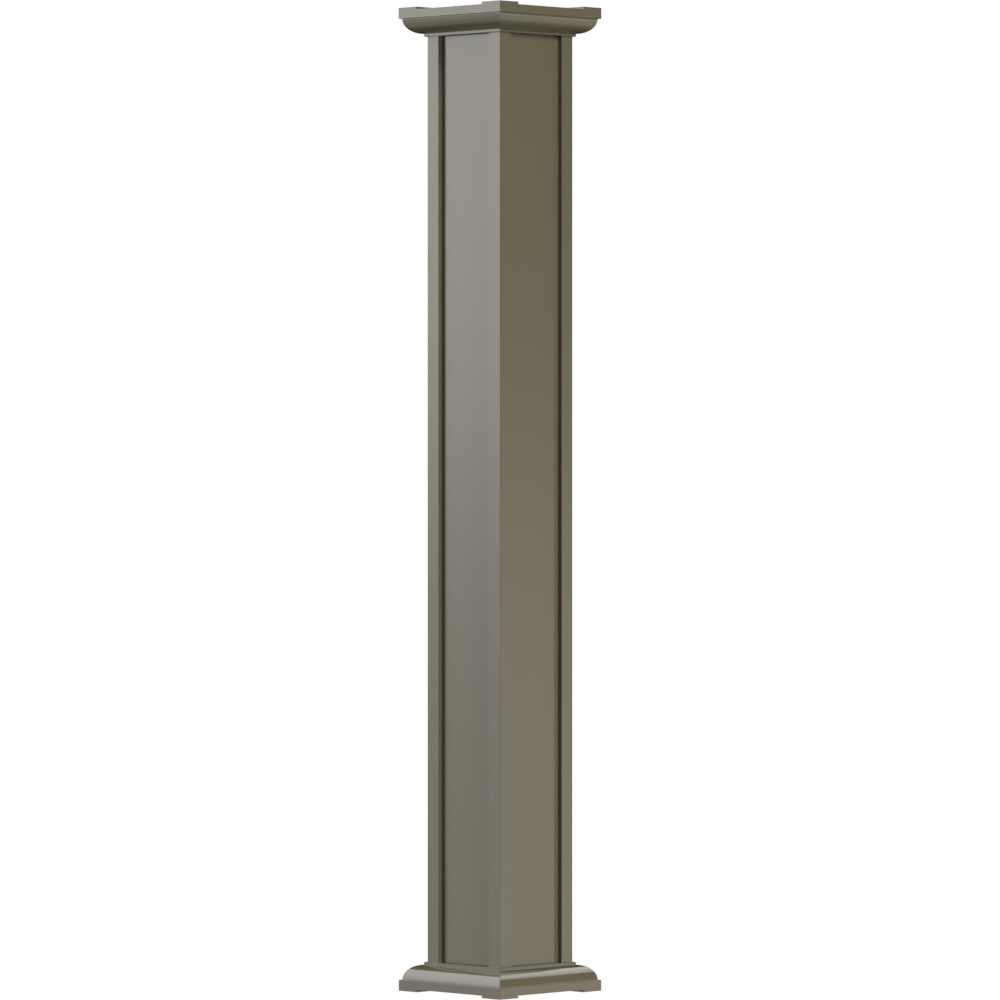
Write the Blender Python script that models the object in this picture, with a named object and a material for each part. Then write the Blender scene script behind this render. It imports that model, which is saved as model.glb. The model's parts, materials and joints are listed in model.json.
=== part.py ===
"""A square aluminium porch column with recessed panels, a moulded base and a matching capital.

The shaft is four equal extruded sides that lock together along the corners by a tongue that
slides in a groove. It stands on seats inside a hollow cast base, and the same casting, turned
over, caps it. The origin is at the middle of the column's footprint, on the ground.
"""

import math

import bmesh
import bpy
from mathutils import Matrix, Vector

# Column
HEIGHT = 2.4384
FIT_GAP = 0.0003

# Shaft sides
SHAFT_WIDTH = 0.254
SHAFT_WALL = 0.0032
STILE_WIDTH = 0.0381
PANEL_DEPTH = 0.0127

# Corner lock between two sides, measured in from the arris along the corner's diagonal
LOCK_INSET = 0.0035
LOCK_WALL = 0.0018
LOCK_CLEARANCE = 0.00035
TONGUE_NECK = 0.0020
TONGUE_WIDTH = 0.0050
TONGUE_HEAD = 0.0016
TONGUE_LEG = 0.0024

# Base casting, from the shaft outwards and from the ground up
CASTING_WALL = 0.0048
COLLAR_CLEARANCE = 0.0004
COLLAR_PROUD = 0.00635
COLLAR_HEIGHT = 0.0071
OVOLO_LIP = 0.0009
OVOLO_RADIUS = 0.0373
LEDGE_WIDTH = 0.00625
PLINTH_HEIGHT = 0.0270
OVOLO_SEGMENTS = 16

# Seats inside the casting, and the pads under them
SEAT_HEIGHT = 0.012
PAD_HEIGHT = 0.0060
PAD_REACH = 0.0127
SEAT_LIP = 0.0020

# Overlap of every cutter past the face that it cuts
CUT_MARGIN = 0.010

# Powder coat
COAT_COLOUR = (0.150, 0.128, 0.077, 1.0)
COAT_ROUGHNESS = 0.20
COAT_METALLIC = 0.0
SMOOTH_BELOW = math.radians(25)

SHAFT_HALF = SHAFT_WIDTH / 2
PANEL_HALF = SHAFT_HALF - STILE_WIDTH
COLLAR_HALF = SHAFT_HALF + COLLAR_PROUD
OVOLO_CENTRE = COLLAR_HALF + OVOLO_LIP
OVOLO_HALF = OVOLO_CENTRE + OVOLO_RADIUS
PLINTH_HALF = OVOLO_HALF + LEDGE_WIDTH
OVOLO_TOP = PLINTH_HEIGHT + OVOLO_RADIUS
CASTING_HEIGHT = OVOLO_TOP + COLLAR_HEIGHT
PAD_INNER = SHAFT_HALF - PAD_REACH
SEAT_INNER = PAD_INNER - SEAT_LIP


def clear_scene():
    for old in list(bpy.data.objects):
        bpy.data.objects.remove(old)


def coat(name):
    """One piece's powder coat."""
    material = bpy.data.materials.new(name)
    material.use_nodes = True
    shader = material.node_tree.nodes["Principled BSDF"]
    shader.inputs["Base Color"].default_value = COAT_COLOUR
    shader.inputs["Roughness"].default_value = COAT_ROUGHNESS
    shader.inputs["Metallic"].default_value = COAT_METALLIC
    return material


def new_object(name, mesh):
    piece = bpy.data.objects.new(name, mesh)
    bpy.context.scene.collection.objects.link(piece)
    return piece


def mesh_from(name, build):
    """A mesh that the function build fills as a bmesh, with its faces turned outwards."""
    shape = bmesh.new()
    build(shape)
    bmesh.ops.recalc_face_normals(shape, faces=shape.faces)
    mesh = bpy.data.meshes.new(name)
    shape.to_mesh(mesh)
    shape.free()
    return mesh


def prism_mesh(name, outline, length):
    """The outline, which lies flat, extruded upwards."""

    def build(shape):
        corners = [shape.verts.new((x, y, 0.0)) for x, y in outline]
        face = shape.faces.new(corners)
        raised = bmesh.ops.extrude_face_region(shape, geom=[face])["geom"]
        top = [item for item in raised if isinstance(item, bmesh.types.BMVert)]
        bmesh.ops.translate(shape, verts=top, vec=Vector((0.0, 0.0, length)))

    return mesh_from(name, build)


def stack_mesh(name, profile):
    """A solid of square rings, one for each (half width, height) of the profile."""

    def build(shape):
        rings = []
        for half, height in profile:
            corners = ((-half, -half), (half, -half), (half, half), (-half, half))
            rings.append([shape.verts.new((x, y, height)) for x, y in corners])
        shape.faces.new(rings[0])
        shape.faces.new(rings[-1])
        for lower, upper in zip(rings, rings[1:]):
            for i in range(4):
                j = (i + 1) % 4
                shape.faces.new((lower[i], lower[j], upper[j], upper[i]))

    return mesh_from(name, build)


def box_mesh(name, low, high):
    """A box from its lowest to its highest corner."""

    def build(shape):
        centre = (Vector(low) + Vector(high)) / 2
        size = Vector(high) - Vector(low)
        place = Matrix.Translation(centre) @ Matrix.Diagonal((*size, 1.0))
        bmesh.ops.create_cube(shape, size=1.0, matrix=place)

    return mesh_from(name, build)


def cut_mesh(name, body, cutters):
    """The body mesh with the cutter meshes taken out of it."""
    target = new_object(name + "_blank", body)
    tools = []
    for number, cutter in enumerate(cutters):
        tool = new_object(f"{name}_cutter_{number}", cutter)
        tool.display_type = "WIRE"
        tool.hide_render = True
        boolean = target.modifiers.new("cut", "BOOLEAN")
        boolean.operation = "DIFFERENCE"
        boolean.solver = "EXACT"
        boolean.object = tool
        tools.append(tool)
    evaluated = target.evaluated_get(bpy.context.evaluated_depsgraph_get())
    made = bpy.data.meshes.new_from_object(evaluated)
    made.name = name
    for used in (target, *tools):
        bpy.data.objects.remove(used)
    return made


def corner_point(end, inward, aside):
    """A point near the corner at the left (end -1) or right (end 1) edge of the -Y side.

    inward is measured from the arris along the corner's diagonal, and aside square to it,
    away from the neighbouring side.
    """
    x = end * (SHAFT_HALF - (inward + aside) / math.sqrt(2))
    y = -SHAFT_HALF + (inward - aside) / math.sqrt(2)
    return x, y


def lock_outlines():
    """The tongue's and the groove's outlines, as (inward, aside), from the face inwards."""
    mitre = FIT_GAP / 2
    back_of_wall = SHAFT_WALL * math.sqrt(2)
    slot_start = back_of_wall + LOCK_INSET
    slot_end = slot_start + TONGUE_WIDTH + 2 * LOCK_CLEARANCE
    middle = (slot_start + slot_end) / 2
    lip = mitre + LOCK_WALL
    slot_back = lip + TONGUE_HEAD + 2 * LOCK_CLEARANCE
    groove_back = slot_back + LOCK_WALL
    leg_back = mitre + TONGUE_LEG
    lock_end = slot_end + LOCK_WALL
    neck = TONGUE_NECK / 2
    mouth = neck + LOCK_CLEARANCE
    head = TONGUE_WIDTH / 2
    head_near = -lip - LOCK_CLEARANCE
    head_far = head_near - TONGUE_HEAD
    tongue = [
        (mitre, mitre),
        (middle - neck, mitre),
        (middle - neck, head_near),
        (middle - head, head_near),
        (middle - head, head_far),
        (middle + head, head_far),
        (middle + head, head_near),
        (middle + neck, head_near),
        (middle + neck, mitre),
        (lock_end, mitre),
        (lock_end, leg_back),
        (leg_back + back_of_wall, leg_back),
    ]
    groove = [
        (mitre, mitre),
        (middle - mouth, mitre),
        (middle - mouth, lip),
        (slot_start, lip),
        (slot_start, slot_back),
        (slot_end, slot_back),
        (slot_end, lip),
        (middle + mouth, lip),
        (middle + mouth, mitre),
        (lock_end, mitre),
        (lock_end, groove_back),
        (groove_back + back_of_wall, groove_back),
    ]
    return tongue, groove


def side_outline():
    """The cross-section of the side that faces -Y, as points seen from above."""
    tongue, groove = lock_outlines()
    left = [corner_point(-1, inward, aside) for inward, aside in tongue]
    right = [corner_point(1, inward, aside) for inward, aside in groove]
    face = -SHAFT_HALF
    panel = face + PANEL_DEPTH
    behind = PANEL_HALF + SHAFT_WALL
    outside = [(-PANEL_HALF, face), (-PANEL_HALF, panel), (PANEL_HALF, panel), (PANEL_HALF, face)]
    inside = [
        (behind, face + SHAFT_WALL),
        (behind, panel + SHAFT_WALL),
        (-behind, panel + SHAFT_WALL),
        (-behind, face + SHAFT_WALL),
    ]
    return [left[0], *outside, *right, *inside, *reversed(left[1:])]


def make_shaft():
    """Four equal sides, each turned a quarter from the last, standing on the base's seats."""
    foot = SEAT_HEIGHT + FIT_GAP
    mesh = prism_mesh("shaft_side", side_outline(), HEIGHT - 2 * foot)
    for quarter, name in enumerate(("front", "right", "back", "left")):
        side_mesh = mesh if quarter == 0 else mesh.copy()
        side_mesh.materials.append(coat(f"shaft_coat_{name}"))
        side = new_object(f"shaft_side_{name}", side_mesh)
        side.location.z = foot
        side.rotation_euler.z = quarter * math.pi / 2


def outer_profile():
    """Plinth, ledge, quarter-round and collar, as (half width, height)."""
    profile = [(PLINTH_HALF, 0.0), (PLINTH_HALF, PLINTH_HEIGHT)]
    profile += quarter_round(OVOLO_RADIUS)
    profile += [(COLLAR_HALF, OVOLO_TOP), (COLLAR_HALF, CASTING_HEIGHT)]
    return profile


def quarter_round(radius):
    """The ovolo's arc from the ledge up to its crest, or a smaller one round the same centre."""
    arc = []
    for step in range(OVOLO_SEGMENTS + 1):
        angle = math.pi / 2 * step / OVOLO_SEGMENTS
        half = OVOLO_CENTRE + radius * math.cos(angle)
        arc.append((half, PLINTH_HEIGHT + radius * math.sin(angle)))
    return arc


def hollow_mesh():
    """The space inside the casting: its outside less the wall, and less the four seats."""
    inner_plinth = PLINTH_HALF - CASTING_WALL
    under_ledge = PLINTH_HEIGHT - CASTING_WALL
    inner_ovolo = OVOLO_HALF - CASTING_WALL
    profile = [(inner_plinth, -CUT_MARGIN), (inner_plinth, under_ledge), (inner_ovolo, under_ledge)]
    profile += quarter_round(OVOLO_RADIUS - CASTING_WALL)
    past = PLINTH_HALF + CUT_MARGIN
    seats = []
    for x_side in (-1, 1):
        for y_side in (-1, 1):
            xs = sorted((x_side * SEAT_INNER, x_side * past))
            ys = sorted((y_side * SEAT_INNER, y_side * past))
            low = (xs[0], ys[0], -2 * CUT_MARGIN)
            high = (xs[1], ys[1], SEAT_HEIGHT)
            seats.append(box_mesh("seat", low, high))
    return cut_mesh("hollow", stack_mesh("hollow_blank", profile), seats)


def casting_mesh():
    """The base casting, standing on its pads."""
    opening = SHAFT_HALF + COLLAR_CLEARANCE
    top = CASTING_HEIGHT + CUT_MARGIN
    past = PLINTH_HALF + CUT_MARGIN
    passage = box_mesh("passage", (-opening, -opening, PLINTH_HEIGHT), (opening, opening, top))
    vent_x = box_mesh("vent_x", (-past, -PAD_INNER, -CUT_MARGIN), (past, PAD_INNER, PAD_HEIGHT))
    vent_y = box_mesh("vent_y", (-PAD_INNER, -past, -CUT_MARGIN), (PAD_INNER, past, PAD_HEIGHT))
    blank = stack_mesh("casting_blank", outer_profile())
    mesh = cut_mesh("casting", blank, [hollow_mesh(), passage, vent_x, vent_y])
    mesh.shade_smooth()
    mesh.set_sharp_from_angle(angle=SMOOTH_BELOW)
    return mesh


def make_castings():
    """The base, and the same casting turned over as the capital."""
    mesh = casting_mesh()
    capital_mesh = mesh.copy()
    mesh.materials.append(coat("base_coat"))
    new_object("base_casting", mesh)
    capital_mesh.materials.append(coat("capital_coat"))
    capital = new_object("capital_casting", capital_mesh)
    capital.location.z = HEIGHT
    capital.rotation_euler.x = math.pi


clear_scene()
make_shaft()
make_castings()
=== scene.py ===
"""The looks of a powder-coated square aluminium column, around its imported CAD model."""

import json
import math

import bmesh
import bpy
from mathutils import Matrix, Vector

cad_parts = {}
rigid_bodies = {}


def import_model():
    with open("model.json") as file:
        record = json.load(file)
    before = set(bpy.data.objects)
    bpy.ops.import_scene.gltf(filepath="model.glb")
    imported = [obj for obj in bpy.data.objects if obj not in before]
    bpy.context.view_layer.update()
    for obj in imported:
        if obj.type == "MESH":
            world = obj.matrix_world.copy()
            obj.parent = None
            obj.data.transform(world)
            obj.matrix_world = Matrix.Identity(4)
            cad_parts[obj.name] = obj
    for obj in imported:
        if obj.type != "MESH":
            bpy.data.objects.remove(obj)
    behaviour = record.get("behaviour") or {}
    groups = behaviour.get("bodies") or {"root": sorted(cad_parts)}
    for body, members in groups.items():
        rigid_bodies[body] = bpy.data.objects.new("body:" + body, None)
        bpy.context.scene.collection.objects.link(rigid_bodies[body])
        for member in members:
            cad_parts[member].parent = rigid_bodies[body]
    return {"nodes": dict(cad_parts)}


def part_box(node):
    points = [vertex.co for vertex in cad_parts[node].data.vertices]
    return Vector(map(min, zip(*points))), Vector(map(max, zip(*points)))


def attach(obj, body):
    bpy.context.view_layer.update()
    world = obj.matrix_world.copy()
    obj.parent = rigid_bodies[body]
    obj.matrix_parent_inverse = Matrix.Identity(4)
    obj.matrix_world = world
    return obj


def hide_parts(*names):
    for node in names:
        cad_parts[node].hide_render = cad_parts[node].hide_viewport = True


for old in list(bpy.data.objects):
    bpy.data.objects.remove(old)
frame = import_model()

# Castings: the sizes that the CAD node's box can't give, in metres
CASTING_WALL = 0.0048
SHAFT_HALF = 0.127
COLLAR_CLEARANCE = 0.0004
COLLAR_PROUD = 0.00635
OVOLO_LIP = 0.0009
OVOLO_RADIUS = 0.0373
PLINTH_HEIGHT = 0.0270
SEAT_HEIGHT = 0.012
PAD_HEIGHT = 0.0060
PAD_REACH = 0.0127
SEAT_LIP = 0.0020
OVOLO_SEGMENTS = 40
CUT_MARGIN = 0.010

# Softened edges
CAST_EDGE = 0.0004
EXTRUDED_EDGE = 0.00015
EDGE_SEGMENTS = 2
EDGE_ANGLE = math.radians(30)
LARGE_FACE_WEIGHT = 100
WELD_DISTANCE = 0.00001

# Powder coat: the two tones of its speckle, its gloss and its orange peel
COAT_LIGHT = (0.155, 0.137, 0.084)
COAT_DARK = (0.145, 0.128, 0.079)
COAT_ROUGHNESS = 0.20
COAT_IOR = 1.5
SPECKLE_SCALE = 900.0
SPECKLE_DETAIL = 2.0
PEEL_SCALE = 350.0
PEEL_DETAIL = 1.0
PEEL_STRENGTH = 0.10
PEEL_DEPTH = 0.00005

# Camera, at the photograph's place; the horizon's row is a pixel row of the photograph
IMAGE_SIZE = 1000
FOCAL_PIXELS = 5965.0
SENSOR_WIDTH = 36.0
CAMERA_DISTANCE = 14.80
CAMERA_HEIGHT = 1.3229
CAMERA_AZIMUTH = 45.0
HORIZON_ROW = 457.8
CLIP_START = 0.1
CLIP_END = 1000.0

# Studio
WHITE = (1.0, 1.0, 1.0, 1.0)
FLOOR_SIZE = 200.0
LIGHT_DISTANCE = 60.0
LIGHT_AIM = Vector((0.0, 0.0, 1.2))
AMBIENT = 0.01

# Radiance of the light panels, and of those that stand for light from the floor
KEY = 5.0
STRIP = 18.0
REAR = 4.0
BOUNCE = 1.5
DEEP_BOUNCE = 0.9
SIDE_FLOOR = 1.2
FOOT_FLOOR = 0.6

# Soft light panels, by the azimuths and elevations they fill, in degrees, and their radiance
PANELS = {
    "left_low": ((-52.0, -8.0), (0.0, 9.0), KEY),
    "left_middle": ((-68.0, -38.0), (9.0, 36.0), KEY),
    "left_high": ((-82.0, -52.0), (36.0, 50.0), KEY),
    "right_strip": ((75.0, 90.0), (4.0, 36.0), STRIP),
    "rear_high": ((149.0, 203.0), (36.0, 50.0), REAR),
    "left_bounce": ((-67.0, -22.0), (-20.0, 0.0), BOUNCE),
    "left_deep_bounce": ((-67.0, -22.0), (-55.0, -20.0), DEEP_BOUNCE),
    "right_bounce": ((112.0, 158.0), (-10.0, 0.0), BOUNCE),
    "right_deep_bounce": ((112.0, 188.0), (-35.0, -10.0), DEEP_BOUNCE),
    "right_floor": ((67.0, 112.0), (-55.0, -35.0), SIDE_FLOOR),
    "foot_floor": ((22.0, 112.0), (-85.0, -55.0), FOOT_FLOOR),
}


def direction(azimuth, elevation):
    """The unit vector from the column towards a place in the studio. Azimuth 45 is the camera's."""
    a = math.radians(azimuth)
    e = math.radians(elevation)
    return Vector((math.sin(a) * math.cos(e), -math.cos(a) * math.cos(e), math.sin(e)))


def link(obj):
    """Puts a new object in the scene."""
    bpy.context.scene.collection.objects.link(obj)
    return obj


def mesh_from(name, build):
    """A mesh that the function build fills as a bmesh, with its faces turned outwards."""
    shape = bmesh.new()
    build(shape)
    bmesh.ops.recalc_face_normals(shape, faces=shape.faces)
    mesh = bpy.data.meshes.new(name)
    shape.to_mesh(mesh)
    shape.free()
    return mesh


def stack_mesh(name, profile):
    """A solid of square rings, one for each (half width, height) of the profile."""

    def build(shape):
        rings = []
        for half, height in profile:
            square = ((-half, -half), (half, -half), (half, half), (-half, half))
            rings.append([shape.verts.new((x, y, height)) for x, y in square])
        shape.faces.new(rings[0])
        shape.faces.new(rings[-1])
        for lower, upper in zip(rings, rings[1:]):
            for i in range(4):
                j = (i + 1) % 4
                shape.faces.new((lower[i], lower[j], upper[j], upper[i]))

    return mesh_from(name, build)


def box_mesh(name, low, high):
    """A box from its lowest to its highest corner."""

    def build(shape):
        centre = (Vector(low) + Vector(high)) / 2
        size = Vector(high) - Vector(low)
        place = Matrix.Translation(centre) @ Matrix.Diagonal((*size, 1.0))
        bmesh.ops.create_cube(shape, size=1.0, matrix=place)

    return mesh_from(name, build)


def evaluated_mesh(obj):
    """An object's mesh with its modifiers applied."""
    graph = bpy.context.evaluated_depsgraph_get()
    return bpy.data.meshes.new_from_object(obj.evaluated_get(graph))


def cut_mesh(name, body, cutters):
    """The body mesh with the cutter meshes taken out of it."""
    target = link(bpy.data.objects.new(name + "_blank", body))
    tools = []
    for number, cutter in enumerate(cutters):
        tool = link(bpy.data.objects.new(f"{name}_cutter_{number}", cutter))
        boolean = target.modifiers.new("cut", "BOOLEAN")
        boolean.operation = "DIFFERENCE"
        boolean.solver = "EXACT"
        boolean.object = tool
        tools.append(tool)
    made = evaluated_mesh(target)
    made.name = name
    for used in (target, *tools):
        bpy.data.objects.remove(used)
    return made


class Casting:
    """The base casting's profile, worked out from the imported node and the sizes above."""

    def __init__(self, node):
        low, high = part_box(node)
        self.plinth_half = high.x
        self.height = high.z - low.z
        self.collar_half = SHAFT_HALF + COLLAR_PROUD
        self.ovolo_centre = self.collar_half + OVOLO_LIP
        self.ovolo_half = self.ovolo_centre + OVOLO_RADIUS
        self.ovolo_top = PLINTH_HEIGHT + OVOLO_RADIUS
        self.pad_inner = SHAFT_HALF - PAD_REACH
        self.seat_inner = self.pad_inner - SEAT_LIP
        self.past = self.plinth_half + CUT_MARGIN

    def quarter_round(self, radius):
        """The ovolo's arc from the ledge to its crest, or a smaller one on the same centre."""
        arc = []
        for step in range(OVOLO_SEGMENTS + 1):
            angle = math.pi / 2 * step / OVOLO_SEGMENTS
            half = self.ovolo_centre + radius * math.cos(angle)
            arc.append((half, PLINTH_HEIGHT + radius * math.sin(angle)))
        return arc

    def outside(self):
        """Plinth, ledge, quarter-round and collar, as one solid."""
        profile = [(self.plinth_half, 0.0), (self.plinth_half, PLINTH_HEIGHT)]
        profile += self.quarter_round(OVOLO_RADIUS)
        profile += [(self.collar_half, self.ovolo_top), (self.collar_half, self.height)]
        return stack_mesh("casting_blank", profile)

    def hollow(self):
        """The space inside the casting: its outside less the wall, and less the four seats."""
        inner_plinth = self.plinth_half - CASTING_WALL
        inner_ovolo = self.ovolo_half - CASTING_WALL
        under_ledge = PLINTH_HEIGHT - CASTING_WALL
        profile = [
            (inner_plinth, -CUT_MARGIN),
            (inner_plinth, under_ledge),
            (inner_ovolo, under_ledge),
        ]
        profile += self.quarter_round(OVOLO_RADIUS - CASTING_WALL)
        seats = []
        for x_side in (-1, 1):
            for y_side in (-1, 1):
                xs = sorted((x_side * self.seat_inner, x_side * self.past))
                ys = sorted((y_side * self.seat_inner, y_side * self.past))
                low = (xs[0], ys[0], -2 * CUT_MARGIN)
                seats.append(box_mesh("seat", low, (xs[1], ys[1], SEAT_HEIGHT)))
        return cut_mesh("hollow", stack_mesh("hollow_blank", profile), seats)

    def mesh(self):
        """The whole casting, standing on its pads at the origin, with softened edges."""
        opening = SHAFT_HALF + COLLAR_CLEARANCE
        inner, past = self.pad_inner, self.past
        top = self.height + CUT_MARGIN
        passage = box_mesh("passage", (-opening, -opening, PLINTH_HEIGHT), (opening, opening, top))
        vent_x = box_mesh("vent_x", (-past, -inner, -CUT_MARGIN), (past, inner, PAD_HEIGHT))
        vent_y = box_mesh("vent_y", (-inner, -past, -CUT_MARGIN), (inner, past, PAD_HEIGHT))
        sharp = cut_mesh("casting", self.outside(), [self.hollow(), passage, vent_x, vent_y])
        return softened(sharp)


def soften(obj, width):
    """A narrow rounded bevel on an object's sharp edges."""
    bevel = obj.modifiers.new("softened edges", "BEVEL")
    bevel.width = width
    bevel.segments = EDGE_SEGMENTS
    bevel.limit_method = "ANGLE"
    bevel.angle_limit = EDGE_ANGLE
    bevel.use_clamp_overlap = True
    bevel.harden_normals = False


def weigh_normals(obj):
    """Lets the large faces rule the shading, so that flat faces stay flat up to their edges."""
    weighted = obj.modifiers.new("weighted normals", "WEIGHTED_NORMAL")
    weighted.mode = "FACE_AREA"
    weighted.weight = LARGE_FACE_WEIGHT
    weighted.keep_sharp = True


def softened(mesh):
    """A casting's mesh with rounded edges and smooth shading."""
    mesh.shade_smooth()
    holder = link(bpy.data.objects.new("holder", mesh))
    soften(holder, CAST_EDGE)
    weigh_normals(holder)
    made = evaluated_mesh(holder)
    bpy.data.objects.remove(holder)
    return made


def make_castings(coat):
    """The base moulding, and the same one turned over as the capital's."""
    mesh = Casting("base_casting").mesh()
    mesh.materials.clear()
    mesh.materials.append(coat)
    base = link(bpy.data.objects.new("base_moulding", mesh))
    top_mesh = mesh.copy()
    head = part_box("capital_casting")[1].z
    top_mesh.transform(Matrix.Translation((0, 0, head)) @ Matrix.Rotation(math.pi, 4, "X"))
    capital = link(bpy.data.objects.new("capital_moulding", top_mesh))
    for piece, node in ((base, "base_casting"), (capital, "capital_casting")):
        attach(piece, "root")
        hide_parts(node)


def dress_shaft(coat):
    """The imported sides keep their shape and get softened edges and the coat."""
    for name, side in frame["nodes"].items():
        if not name.startswith("shaft_side"):
            continue
        side.data.materials.clear()
        side.data.materials.append(coat)
        weld = side.modifiers.new("weld", "WELD")
        weld.merge_threshold = WELD_DISTANCE
        soften(side, EXTRUDED_EDGE)


def powder_coat():
    """Semi-gloss coat with a slight orange peel and a faint speckle of pigment."""
    material = bpy.data.materials.new("column_coat")
    material.use_nodes = True
    nodes = material.node_tree.nodes
    links = material.node_tree.links
    shader = nodes["Principled BSDF"]
    shader.inputs["IOR"].default_value = COAT_IOR
    shader.inputs["Roughness"].default_value = COAT_ROUGHNESS
    place = nodes.new("ShaderNodeTexCoord").outputs["Object"]
    speckle = nodes.new("ShaderNodeTexNoise")
    speckle.inputs["Scale"].default_value = SPECKLE_SCALE
    speckle.inputs["Detail"].default_value = SPECKLE_DETAIL
    links.new(place, speckle.inputs["Vector"])
    tone = nodes.new("ShaderNodeMix")
    tone.data_type = "RGBA"
    tone.inputs["A"].default_value = (*COAT_DARK, 1.0)
    tone.inputs["B"].default_value = (*COAT_LIGHT, 1.0)
    links.new(speckle.outputs["Fac"], tone.inputs["Factor"])
    links.new(tone.outputs["Result"], shader.inputs["Base Color"])
    peel = nodes.new("ShaderNodeTexNoise")
    peel.inputs["Scale"].default_value = PEEL_SCALE
    peel.inputs["Detail"].default_value = PEEL_DETAIL
    links.new(place, peel.inputs["Vector"])
    bump = nodes.new("ShaderNodeBump")
    bump.inputs["Strength"].default_value = PEEL_STRENGTH
    bump.inputs["Distance"].default_value = PEEL_DEPTH
    links.new(peel.outputs["Fac"], bump.inputs["Height"])
    links.new(bump.outputs["Normal"], shader.inputs["Normal"])
    return material


def make_camera():
    """The camera, tilted so that the horizon falls on its row of the picture."""
    data = bpy.data.cameras.new("camera")
    data.sensor_width = SENSOR_WIDTH
    data.lens = FOCAL_PIXELS / IMAGE_SIZE * SENSOR_WIDTH
    data.clip_start = CLIP_START
    data.clip_end = CLIP_END
    camera = link(bpy.data.objects.new("camera", data))
    camera.location = direction(CAMERA_AZIMUTH, 0) * CAMERA_DISTANCE
    camera.location.z = CAMERA_HEIGHT
    pitch = math.atan2(IMAGE_SIZE / 2 - HORIZON_ROW, FOCAL_PIXELS)
    forward = -direction(CAMERA_AZIMUTH, 0) * math.cos(pitch)
    forward.z = -math.sin(pitch)
    camera.rotation_mode = "QUATERNION"
    camera.rotation_quaternion = forward.to_track_quat("-Z", "Y")
    bpy.context.scene.camera = camera


def white_glow(name):
    """A material that shines evenly white, which shows no shadow."""
    material = bpy.data.materials.new(name)
    material.use_nodes = True
    nodes = material.node_tree.nodes
    nodes.clear()
    emission = nodes.new("ShaderNodeEmission")
    emission.inputs["Color"].default_value = WHITE
    output = nodes.new("ShaderNodeOutputMaterial")
    material.node_tree.links.new(emission.outputs["Emission"], output.inputs["Surface"])
    return material


def make_floor():
    """A plain pale floor that only the camera sees; the bounce panels stand for its light."""
    half = FLOOR_SIZE / 2
    outline = [(-half, -half, 0.0), (half, -half, 0.0), (half, half, 0.0), (-half, half, 0.0)]
    mesh = bpy.data.meshes.new("floor")
    mesh.from_pydata(outline, [], [(0, 1, 2, 3)])
    mesh.materials.append(white_glow("pale_floor"))
    floor = link(bpy.data.objects.new("floor", mesh))
    floor.visible_diffuse = False
    floor.visible_glossy = False
    floor.visible_shadow = False


def make_world():
    """White behind the column and almost dark around it."""
    world = bpy.data.worlds.new("studio")
    bpy.context.scene.world = world
    world.use_nodes = True
    nodes = world.node_tree.nodes
    links = world.node_tree.links
    nodes.clear()
    path = nodes.new("ShaderNodeLightPath")
    around = nodes.new("ShaderNodeBackground")
    around.inputs["Color"].default_value = WHITE
    around.inputs["Strength"].default_value = AMBIENT
    behind = nodes.new("ShaderNodeBackground")
    behind.inputs["Color"].default_value = WHITE
    mix = nodes.new("ShaderNodeMixShader")
    output = nodes.new("ShaderNodeOutputWorld")
    links.new(path.outputs["Is Camera Ray"], mix.inputs["Fac"])
    links.new(around.outputs["Background"], mix.inputs[1])
    links.new(behind.outputs["Background"], mix.inputs[2])
    links.new(mix.outputs["Shader"], output.inputs["Surface"])


def make_panel(name, azimuths, elevations, radiance):
    """A far soft light panel that fills these ranges of degrees, as seen from the column."""
    azimuth = sum(azimuths) / 2
    elevation = sum(elevations) / 2
    half_turn = math.radians(azimuths[1] - azimuths[0]) / 2
    half_rise = math.radians(elevations[1] - elevations[0]) / 2
    data = bpy.data.lights.new(name, "AREA")
    data.shape = "RECTANGLE"
    data.size = 2 * LIGHT_DISTANCE * math.tan(half_turn) * math.cos(math.radians(elevation))
    data.size_y = 2 * LIGHT_DISTANCE * math.tan(half_rise)
    data.energy = radiance * data.size * data.size_y * math.pi
    panel = link(bpy.data.objects.new(name, data))
    toward = direction(azimuth, elevation)
    panel.location = toward * LIGHT_DISTANCE + LIGHT_AIM
    panel.rotation_mode = "QUATERNION"
    panel.rotation_quaternion = toward.to_track_quat("Z", "Y")
    panel.visible_camera = False


def make_lights():
    """All the soft light panels."""
    for name, (azimuths, elevations, radiance) in PANELS.items():
        make_panel(name, azimuths, elevations, radiance)


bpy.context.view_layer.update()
bpy.context.scene.view_settings.view_transform = "Standard"
make_camera()
finish = powder_coat()
dress_shaft(finish)
make_castings(finish)
make_floor()
make_world()
make_lights()
